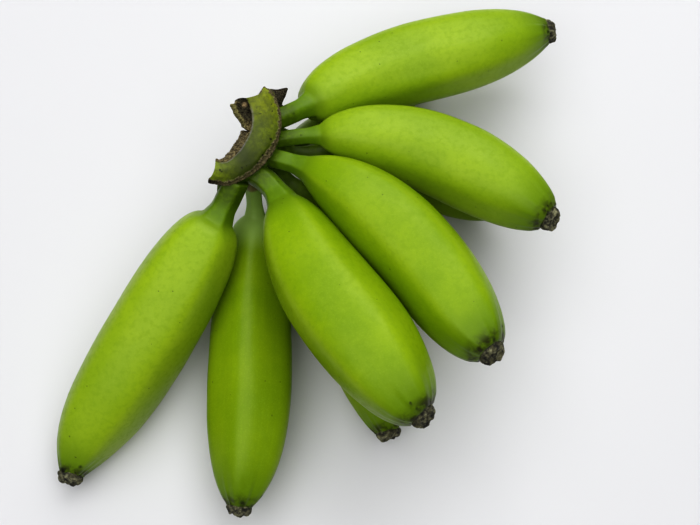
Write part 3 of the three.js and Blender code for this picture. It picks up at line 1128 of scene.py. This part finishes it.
@dataclass(frozen=True)
class Fruit:
    """One fruit on its stalk, with the dried flower at its tip."""

    label: str
    stalk: Stalk
    row: Row
    station: float  # degrees round the stalk's axis
    heading: Bend
    pitch: Bend
    length: float
    girth: float
    thickest: float  # share of the body's length where it is thickest
    neck: Pair  # length and radius of the fruit's own stalk
    shoulder: float  # how soon the body swells: the power of its curve
    taper: Pair  # how late and how bluntly it narrows: two powers
    blend: float  # how sharply body and stalk meet
    seed: float
    ridge: float = 36.0  # degrees from the top to the section's first edge
    edge: float = 4.0  # how marked the body's edges are
    dark_root: float = 7.5  # how far from the root painted shade darkens the peel
    darkest_root: float = 1.0  # and how far the painted shade is darkest
    stalk_reach: float = 6.0  # how far the stalk's darker green, partly its own and partly painted shade, runs onto the body
    tip_pinch: float = 0.07  # how much the peel narrows where it meets the dried flower
    shade: float = 0.0  # how much painted shade darkens its whole peel
    pallor: float = 0.0  # how much painted light brightens its whole peel
    bloom: float = 0.0  # how far from the root painted light brightens the stalk
    husk: float = 0.0  # how far from the root a dry husk clings, its tan partly its own and partly a painted highlight
    edge_gains: tuple[float, ...] = (1.0, 0.6, 0.8, 0.5, 0.9)
    # A sharper ridge on the body: degrees from the first edge, and its height as a share.
    crest: Pair = (0.0, 0.0)
    flower_reach: float = 0.0  # how much further out the flower's end is
    flower_tilt: float = 0.33  # how far the flower's end faces up, as a slope
    marks: tuple[Mark, ...] = ()
    mark_spread: float = 2.0  # how far a dark spot fades out, in its radii
    bend_nodes: Bend = (0.0, 0.12, 0.3, 0.6, 1.0)
    root_radius: float = 33.0
    root_sunk: float = 7.0
    tip_radius: float = 5.6
    tip_gap: float = 2.3  # from the last ring of peel to the fruit's full length
    tip_onset: float = 0.5  # how early the stalk's radius turns into the tip's: a power
    flare: Pair = (0.45, 7.0)  # how much the stalk widens onto the body, and over how far
    faces: int = 5
    section_samples: int = 12  # angles on a face that its mean radius is taken from
    end_edges: Pair = (4.6, 6.0)  # how marked the edges are on the stalk and at the tip
    belly: float = 0.6  # power of the curve that fades the ends' edges into the body's
    edge_width: float = 0.2  # radians
    # Height of the raised edges, as shares of the girth, and what tip and stalk add.
    edge_heights: Triple = (0.008, 0.025, 0.05)
    edge_tint_width: float = 0.12  # radians
    crest_width: float = 0.3  # radians
    stalk_fade: Pair = (6.0, -4.0)  # past the stalk's length, where its edges are gone, and full
    # Distances from the tip where each effect starts, and where it is full.
    tip_edges: Pair = (22.0, 4.0)
    tip_tint: Pair = (26.0, 2.0)
    tip_pinched: Pair = (5.0, 2.3)
    tip_scorch: Pair = (9.0, 3.0)
    tip_tint_depth: float = 0.8
    # Waves round the section: how many, their phase and their height.
    creases: tuple[Triple, ...] = ((11, 1.0, 1.0), (17, 2.3, 0.8), (27, 4.1, 0.5))
    tears: tuple[Triple, ...] = ((3, 0.4, 0.5), (5, 1.9, 0.45), (8, 3.1, 0.3))
    crease_depth: float = 0.12
    tear_turn: float = 2.7  # how far each seed turns the flower's tears, radians
    body_lumps: Lumps = Lumps(0.3, 26.0, 2)
    coarse: Lumps = Lumps(0.45, 3.2, 3, 5.0)
    fine: Lumps = Lumps(0.2, 1.5, 3, 6.0)
    grain_step: float = 90.0  # how far each seed moves the peel's grain
    spine_steps: int = 480
    around: int = 100
    rings: int = 150
    crowding: float = 0.1  # how much closer the rings are at both ends
    flower_around: int = 90
    flower_rings: int = 44
    # The dried flower's section: distance past the fruit's length, radius.
    flower_profile: Line = (
        (-3, 4.4), (-2.7, 5.1), (-2.1, 5.6), (-1.2, 5.75), (-0.4, 5.4), (0.4, 4.8), (1, 4),
        (1.1, 3.3), (0.7, 2.6), (0.5, 1.8), (0.9, 1), (1.1, 0.4),
    )
    rim_bell: Pair = (0.5, 0.16)  # its ragged rim: place and width along the section
    rim_ragged: float = 0.45
    side_ragged: float = 0.045  # as a share of the radius
    peel_hold: Pair = (-3.0, -2.2)  # distances where its lumps start and are full
    # Brightness, radius and width of the pale rings on its end.
    pale_rings: tuple[Triple, ...] = ((0.45, 4.3, 0.45), (0.4, 1.6, 0.9))
    end_face: Pair = (-1.2, -0.4)  # distances where its end starts and is full
    raised: Triple = (0.3, 0.9, 0.7)  # how worn it is everywhere, on fine and on coarse lumps

    def direction(self, share: Array) -> Array:
        """Direction of the axis.

        Args:
            share: Place along the fruit, 0 at its root and 1 at its tip.

        Returns:
            Unit vectors.
        """
        held = np.clip(share, 0, 1)
        heading = np.radians(lagrange(self.bend_nodes, self.heading, held))
        pitch = np.radians(lagrange(self.bend_nodes, self.pitch, held))
        level = np.cos(pitch)
        return np.stack([level * np.cos(heading), level * np.sin(heading), np.sin(pitch)], axis=-1)

    def root(self) -> Root:
        """Gives the place, direction and radius of the fruit's stalk at the crown."""
        start = np.array([0.0])
        return Root(self.centres(start)[0], self.direction(start)[0], self.neck[1])

    def centres(self, distance: Array) -> Array:
        """Points on the axis.

        Args:
            distance: Distances from the root, which may run past either end.

        Returns:
            The points.
        """
        middles = (np.arange(self.spine_steps) + 0.5) / self.spine_steps
        strides = self.direction(middles) * self.length / self.spine_steps
        root = self.stalk.at(*map(np.array, (self.root_radius, self.station, self.row.value)))
        spine = np.vstack([root, root + np.cumsum(strides, axis=0)])
        reached = np.linspace(0, self.length, self.spine_steps + 1)
        inside = np.clip(distance, 0, self.length)
        held = np.stack([np.interp(inside, reached, spine[:, k]) for k in range(3)], axis=-1)
        return held + self.direction(distance / self.length) * (distance - inside)[..., None]

    def wrapped(self, distance: Array, radius: Array, angle: Array) -> Array:
        """Points round the axis.

        Args:
            distance: Distances from the root.
            radius: Distances from the axis.
            angle: Angles from the top toward the right-hand side, in radians.

        Returns:
            The points.
        """
        along = self.direction(distance / self.length)
        right = np.cross(along, np.array([0.0, 0.0, 1.0]))
        right /= np.linalg.norm(right, axis=-1, keepdims=True)
        up = np.cross(right, along) * (radius * np.cos(angle))[..., None]
        return self.centres(distance) + up + right * (radius * np.sin(angle))[..., None]

    def body_share(self, distance: Array) -> Array:
        """Place along the fruit's body, past its stalk, 0 to 1."""
        start = self.neck[0]
        return np.clip((distance - start) / (self.length - start), 0, 1)

    def girths(self, distance: Array) -> Array:
        """Half thickness: stalk, round shoulder, belly, blunt tip.

        Args:
            distance: Distances from the root.

        Returns:
            The mean radius at each.
        """
        share = self.body_share(distance)
        before = np.clip(1 - share / self.thickest, 0, None)
        beyond = np.clip((share - self.thickest) / (1 - self.thickest), 0, 1)
        power, exponent = self.taper
        swelling = (1 - before**2) ** self.shoulder
        body = self.girth * swelling * (1 - beyond**power) ** exponent
        gain, reach = self.flare
        start, radius = self.neck
        flared = radius * (1 + gain * smooth(distance, start - reach, start + reach / 2))
        end = flared + (self.tip_radius - flared) * share**self.tip_onset
        return (body**self.blend + end**self.blend) ** (1 / self.blend)

    def section(self, turn: Array, sharpness: Array) -> Array:
        """Radius of a rounded, faceted section whose mean is 1.

        Args:
            turn: Angles from one of its edges, in radians.
            sharpness: How marked the edges are.

        Returns:
            The radius at each angle.
        """

        def raw(angle: Array) -> Array:
            """Gives the section before it is scaled.

            Args:
                angle: Angles from one of its edges.

            Returns:
                The unscaled radius at each.
            """
            total = np.zeros(np.broadcast_shapes(angle.shape, sharpness.shape))
            for k in range(self.faces):
                facing = np.cos(angle - (k + 0.5) * FULL_TURN / self.faces)
                total = total + np.clip(facing, 0, None) ** sharpness
            return total ** (-1 / sharpness)

        samples = full_circle(self.section_samples)[0] / self.faces
        mean = sum(raw(np.array([[angle]])) for angle in samples) / len(samples)
        return raw(turn) / mean

    def edge_closeness(self, turn: Array, width: float) -> Array:
        """How near each angle is to the section's edges, with each edge's own gain."""
        places = ((gain, k * FULL_TURN / self.faces) for k, gain in enumerate(self.edge_gains))
        return sum(gain * bell(turn_between(turn, place), 0.0, width) for gain, place in places)

    def crest_height(self, turn: Array) -> Array:
        """How far the sharper ridge stands out, as a share of the radius."""
        place, height = self.crest
        return height * bell(turn_between(turn, math.radians(place)), 0.0, self.crest_width)

    def ring_distances(self) -> Array:
        """Spaces the mesh rings, closer at the stalk and at the tip.

        Returns:
            Their distances from the root, as one column.
        """
        even = np.linspace(0, 1, self.rings)
        eased = even - self.crowding * np.sin(FULL_TURN * even) / math.pi
        start = -self.root_sunk
        return (start + (self.length - self.tip_gap - start) * eased)[:, None]

    def build_peel(self) -> bpy.types.Object:
        """Makes the fruit's mesh, with the fields that its finish reads.

        Returns:
            The fruit.
        """
        distance, turn = self.ring_distances(), full_circle(self.around)
        from_tip = self.length - distance
        share = self.body_share(distance)
        on_body = np.sin(math.pi * share) ** self.belly
        stalk_edge, tip_edge = self.end_edges
        at_end = stalk_edge + (tip_edge - stalk_edge) * share
        girth = self.girths(distance)
        radius = girth * self.section(turn, at_end + (self.edge - at_end) * on_body)
        neck = self.neck[0]
        gone, full = self.stalk_fade
        at_root = smooth(distance, neck + gone, neck + full)
        at_tip = smooth(from_tip, *self.tip_edges)
        least, more_at_tip, more_at_root = self.edge_heights
        raised = least + more_at_tip * at_tip + more_at_root * at_root
        radius = radius + girth * self.edge_closeness(turn, self.edge_width) * raised
        radius = radius + girth * on_body * self.crest_height(turn)
        radius = radius + self.furrows(turn) * self.crease_depth * at_tip
        radius = radius * (1 - self.tip_pinch * smooth(from_tip, *self.tip_pinched))
        angle = turn + math.radians(self.ridge)
        points = self.wrapped(distance, radius, angle)
        points = pushed_out(points, self.body_lumps.depths(points, self.seed) * on_body)
        points[..., 2] = np.maximum(points[..., 2], 0.0)
        across = self.girth * np.cos(turn) + self.grain_step * self.seed
        grain = np.broadcast_arrays(across, self.girth * np.sin(turn), distance)
        fields = {
            "ridge": np.clip(self.edge_closeness(turn, self.edge_tint_width), 0, 1),
            "root": smooth(distance, neck + self.stalk_reach, neck + full),
            # painted shade near the root
            "base": smooth(distance, self.dark_root, self.darkest_root),
            "tip": smooth(from_tip, *self.tip_tint) * self.tip_tint_depth,
            "bloom": self.near_root(distance, self.bloom),
            "husk": self.near_root(distance, self.husk),
            "shade": np.array(self.shade),
            "pallor": np.array(self.pallor),
            "scorch": smooth(from_tip, *self.tip_scorch),
            "mark": self.mark_field(distance, angle, girth),
        }
        fields = {key: np.broadcast_to(values, radius.shape) for key, values in fields.items()}
        fields["grain"] = np.stack(grain, axis=-1)
        return skin_object(f"fruit_{self.label}_peel", points, fields)

    def near_root(self, distance: Array, reach: float) -> Array:
        """1 close to the root, fading to 0 over the last half of the reach."""
        return smooth(distance, reach, reach / 2) if reach else np.zeros_like(distance)

    def furrows(self, turn: Array) -> Array:
        """Fine lengthwise creases, from a few waves round the section."""
        shift = 1 + self.seed
        return waves(turn, ((count, phase * shift, high) for count, phase, high in self.creases))

    def mark_field(self, distance: Array, angle: Array, girth: Array) -> Array:
        """Finds the dark spots.

        Args:
            distance: Distances from the root.
            angle: Angles from the top, in radians.
            girth: The mean radius at each distance.

        Returns:
            1 at a spot's middle, falling to 0 past its rim.
        """
        out = np.zeros(np.broadcast_shapes(distance.shape, angle.shape))
        for mark in self.marks:
            beside = turn_between(angle, math.radians(mark.turn)) * girth
            reach = np.hypot(distance - mark.distance, beside)
            out = np.maximum(out, 1 - reach / (mark.radius * self.mark_spread))
        return out

    def build_flower(self) -> bpy.types.Object:
        """Makes the dried flower's mesh: a ragged corky cup on the fruit's tip.

        Returns:
            The dried flower.
        """
        profile = open_curve(np.array(self.flower_profile), self.flower_rings)
        past, out = profile[:, :1], profile[:, 1:]
        turn = full_circle(self.flower_around)
        rim = bell(np.arange(self.flower_rings)[:, None] / self.flower_rings, *self.rim_bell)
        torn = waves(turn, self.tears, self.tear_turn * self.seed)
        radius = out * (1 + self.side_ragged * torn)
        leant = np.clip(1 - past / past[0], 0, 1)
        slanted = self.flower_reach - self.flower_tilt * radius * np.cos(turn)
        distance = self.length + past + leant * slanted + self.rim_ragged * rim * torn
        points = self.wrapped(distance, radius, turn)
        coarse, fine = (lumps.at(points, self.seed) for lumps in (self.coarse, self.fine))
        depth = self.coarse.depth * coarse + self.fine.depth * fine
        points = pushed_out(points, depth * smooth(past, *self.peel_hold))
        points[..., 2] = np.maximum(points[..., 2], 0.0)
        grain = np.stack([radius * np.cos(turn), radius * np.sin(turn), distance], axis=-1)
        least, on_fine, on_coarse = self.raised
        ringed = bells(out, self.pale_rings) * smooth(past, *self.end_face)
        raised = least + ringed + on_fine * fine + on_coarse * coarse
        fields = {"grain": grain, "raised": np.clip(raised, 0, 1)}
        return skin_object(f"flower_{self.label}", points, fields)


@dataclass(frozen=True)
class Hand:
    """The whole hand: the crown and its two rows of fruit."""

    stalk: Stalk = Stalk()

    def fruits(self) -> list[Fruit]:
        """Lists the fruits, first the upper row, each row from one end to the other.

        Returns:
            The fruits.
        """
        upper = partial(Fruit, stalk=self.stalk, row=Row.UPPER)
        lower = partial(Fruit, stalk=self.stalk, row=Row.LOWER)
        # What two fruits with a sharp lower edge share, and two that mostly lie hidden.
        sharp = {"edge": 4.2, "ridge": 27, "edge_gains": (0, 0.6, 0.8, 0.5, 0.9)}
        hidden = {"shoulder": 0.51, "taper": (2.64, 0.65), "blend": 5}
        return [
            upper(
                "upper_1", station=-75, heading=(-121.5, -123.7, -122.4, -124.4, -98.3),
                pitch=(-33, -22.1, -16.8, -20, 7), length=152.7, girth=20.3, thickest=0.406,
                neck=(13.7, 5.6), ridge=-42, shoulder=0.27, taper=(3.54, 0.729), blend=4.8,
                seed=1, pallor=0.14,
                marks=(Mark(149.4, 24, 1.6), Mark(145.5, -36, 1.2), Mark(141, -12, 0.6)),
            ),
            upper(
                "upper_2", station=-47.6, heading=(-34.3, -62.1, -65.5, -53.4, -44.1),
                pitch=(-2, 1.9, 6.8, 8, 5), length=130.8, girth=21.3, thickest=0.555,
                neck=(14.7, 5.32), ridge=48, shoulder=0.386, taper=(2.01, 0.467), blend=6.44,
                seed=2, dark_root=10, stalk_reach=17,
                marks=(Mark(123.6, 9, 0.7), Mark(126.5, 6, 0.9), Mark(8.3, -33, 0.6),
                       Mark(18, -3, 0.45), Mark(20.2, 6, 0.45)),
            ),
            upper(
                "upper_3", station=-28.8, heading=(-15.4, -25.6, -36.4, -52.3, -53.1),
                pitch=(6.5, 4.3, -1.1, 1.4, 14), length=134.3, girth=19.1, thickest=0.49,
                neck=(14.7, 4.2), shoulder=0.558, taper=(2.91, 0.507), blend=3.03,
                seed=3, dark_root=4, stalk_reach=10,
                marks=(Mark(127.3, -66, 0.8), Mark(131.2, -20, 1.2), Mark(9.2, -60, 0.5)),
            ),
            upper(
                "upper_4", station=-12.6, heading=(7.9, 5.6, -3.1, -23.8, -39.3),
                pitch=(4.2, -4.9, -11.5, -5.1, 6), length=132.6, girth=18.4, thickest=0.591,
                neck=(17, 3.46), shoulder=0.465, taper=(2, 0.53), blend=2.57,
                seed=4, dark_root=13, pallor=0.12, flower_reach=0.5, crest=(25, 0.07),
                marks=(Mark(8.5, 15, 0.6), Mark(130.4, 15, 0.9), Mark(128.3, -9, 0.5)),
                **sharp,
            ),
            upper(
                "upper_5", station=4.8, heading=(31.7, 41.2, 31.5, 15.7, 8.8),
                pitch=(-17, -25.4, -15.7, -2, 4.5), length=146.9, girth=19, thickest=0.543,
                neck=(14.7, 4.45), shoulder=0.303, taper=(2.15, 0.574), blend=3.55,
                seed=5, tip_pinch=0, flower_tilt=0.06, flower_reach=1, pallor=0.11,
                crest=(29, 0.11), marks=(Mark(139.1, 6, 0.4), Mark(143.6, 27, 1.1),
                                         Mark(2.6, 30, 0.6), Mark(7.6, 57, 0.5)),
                **sharp,
            ),
            lower(
                "lower_1", station=-54, heading=(-85.4, -91.8, -91.9, -89.1, -97.7),
                pitch=(-66, -38.2, -10.7, 6, -3), length=156.8, girth=19.1, thickest=0.523,
                neck=(17.9, 3.65), ridge=4, edge=5.5, shoulder=0.338, taper=(2.92, 0.616),
                blend=5.29, seed=6, dark_root=8, shade=0.24, bloom=36, husk=2.5,
                edge_gains=(0, 0.5, 0.5, 0.5, 0.5),
                marks=(Mark(152.6, -14, 1.6), Mark(149.5, -75, 1.1)),
            ),
            lower(
                "lower_2", station=-32.3, heading=(-40, -52, -62.4, -69.9, -76.7),
                pitch=(-40, -27.1, -15.8, -9.7, 2), length=141.3, girth=18.1, thickest=0.452,
                neck=(11.9, 3.8), ridge=20, shoulder=0.51, taper=(2.53, 0.582), blend=4.36,
                seed=7, dark_root=60, flower_tilt=0.15,
            ),
            lower(
                "lower_3", station=-18.6, heading=(-2.1, -1.1, 4.6, -12.5, -13.5),
                pitch=(-37.7, -27.3, -27.8, -10.6, 4.8), length=123.6, girth=15.4,
                thickest=0.527, neck=(12, 3.3), seed=8, dark_root=75, **hidden,
            ),
            lower(
                "lower_4", station=-6.7, heading=(3, 35.4, 37.7, 32.8, 25),
                pitch=(-58.8, -54.9, -38.3, -9.9, 6), length=104.4, girth=12,
                thickest=0.582, neck=(13, 3.2), seed=9, dark_root=60, **hidden,
            ),
        ]

    def crown(self) -> Crown:
        """Gives the crown, with its skin drawn up round each fruit's stalk."""
        return Crown(self.stalk, tuple(fruit.root() for fruit in self.fruits()))

    def build(self, effects: Effects) -> None:
        """Makes, dresses and places every piece of the hand.

        Args:
            effects: The shared shader groups.
        """
        peel = PeelFinish().material(effects)
        dried = DriedFinish().material(effects)
        crown_skin = CrownFinish().material(effects)
        place_piece(self.crown().build(), crown_skin, "crown")
        for fruit in self.fruits():
            place_piece(fruit.build_peel(), peel, f"fruit_{fruit.label}")
            node = f"dried_flower_{fruit.label}"
            place_piece(fruit.build_flower(), dried, node)


def place_piece(
    piece: bpy.types.Object, material: bpy.types.Material, node: str
) -> None:
    """Dresses a piece and lets it stand for its node.

    Args:
        piece: The piece.
        material: Its finish.
        node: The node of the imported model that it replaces.
    """
    piece.data.materials.append(material)
    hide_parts(node)
    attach(piece, BODY)
    LOG.info("%s stands for %s, %d faces", piece.name, node, len(piece.data.polygons))


# ---- table, light and camera ----------------------------------------------------------


@dataclass(frozen=True)
class Softbox:
    """A square area light that faces the hand."""

    name: str
    distance: float  # metres
    tilt: float  # degrees from straight above the hand
    heading: float  # degrees from +X
    size: float  # metres
    power: float  # watts

    def place(self) -> Vector:
        """Where it hangs.

        Returns:
            The place, in metres.
        """
        tilt, heading = math.radians(self.tilt), math.radians(self.heading)
        level = math.sin(tilt)
        unit = Vector((level * math.cos(heading), level * math.sin(heading), math.cos(tilt)))
        return unit * self.distance

    def hang(self) -> None:
        """Adds the lamp to the scene."""
        lamp = bpy.data.lights.new(self.name, "AREA")
        lamp.size = self.size
        lamp.energy = self.power
        made = linked(self.name, lamp)
        made.location = self.place()
        made.rotation_euler = (-self.place()).to_track_quat("-Z", "Y").to_euler()


@dataclass(frozen=True)
class Studio:
    """A pale table under broad soft light from above, and the camera."""

    table_colour: Colour = srgb(211, 211, 213)
    table_roughness: float = 0.75
    table_size: float = 1.6  # metres
    backdrop: Colour = srgb(240, 240, 242)  # what the camera sees past the table's edge
    sky: Colour = srgb(250, 251, 255)
    sky_strength: float = 0.03
    lamps: tuple[Softbox, ...] = (
        Softbox("ceiling", 1.5, 0.0, 0.0, 2.4, 27.3),
        Softbox("window", 1.7, 48.0, 75.0, 1.3, 10.4),
        Softbox("fill", 1.7, 48.0, 225.0, 1.2, 2.0),
    )
    target: Triple = (0.01678, -0.00466, 0.030)  # metres
    elevation: float = 75.0  # degrees
    camera_distance: float = 0.411  # metres
    lens: float = 45.0
    sensor: float = 36.0

    def build(self) -> None:
        """Makes the table, the lights and the camera."""
        self.build_table()
        self.build_sky()
        for lamp in self.lamps:
            lamp.hang()
        self.build_camera()
        scene = bpy.context.scene
        scene.view_settings.view_transform = "Standard"
        scene.view_settings.look = "High Contrast"
        LOG.info("studio ready")

    def build_table(self) -> None:
        """Makes the table top, at height 0."""
        half = self.table_size / 2
        corners = [(-half, -half, 0), (half, -half, 0), (half, half, 0), (-half, half, 0)]
        mesh = bpy.data.meshes.new("table")
        mesh.from_pydata(corners, [], [(0, 1, 2, 3)])
        material, graph = new_material("table")
        inputs = {"Base Color": self.table_colour, "Roughness": self.table_roughness}
        shader = graph.add("ShaderNodeBsdfPrincipled", inputs)
        graph.add("ShaderNodeOutputMaterial", {"Surface": shader.outputs[0]})
        mesh.materials.append(material)
        linked("table", mesh)

    def build_sky(self) -> None:
        """Makes the faint light from all round, and the pale backdrop behind it."""
        world = bpy.data.worlds.new("sky")
        world.use_nodes = True
        world.node_tree.nodes.clear()
        graph = Graph(world.node_tree)
        seen = graph.add("ShaderNodeLightPath").outputs["Is Camera Ray"]
        light, plain = (
            graph.add("ShaderNodeBackground", {"Color": colour, "Strength": strength}).outputs[0]
            for colour, strength in ((self.sky, self.sky_strength), (self.backdrop, 1.0))
        )
        chosen = graph.add("ShaderNodeMixShader", {0: seen, 1: light, 2: plain})
        graph.add("ShaderNodeOutputWorld", {"Surface": chosen.outputs[0]})
        bpy.context.scene.world = world

    def build_camera(self) -> None:
        """Makes the camera, looking down at the hand from the front."""
        camera = bpy.data.cameras.new("camera")
        camera.lens = self.lens
        camera.sensor_width = self.sensor
        camera.sensor_fit = "HORIZONTAL"
        made = linked("camera", camera)
        tilt = math.radians(self.elevation)
        back = Vector((0.0, -math.cos(tilt), math.sin(tilt)))
        made.location = Vector(self.target) + back * self.camera_distance
        made.rotation_euler = (math.pi / 2 - tilt, 0.0, 0.0)
        bpy.context.scene.camera = made


# ---- all together ---------------------------------------------------------------------


def main() -> None:
    """Builds the studio and the hand."""
    logging.basicConfig(level=logging.INFO, format="%(name)s: %(message)s")
    Studio().build()
    Hand().build(Effects())


if __name__ == "__main__":
    main()
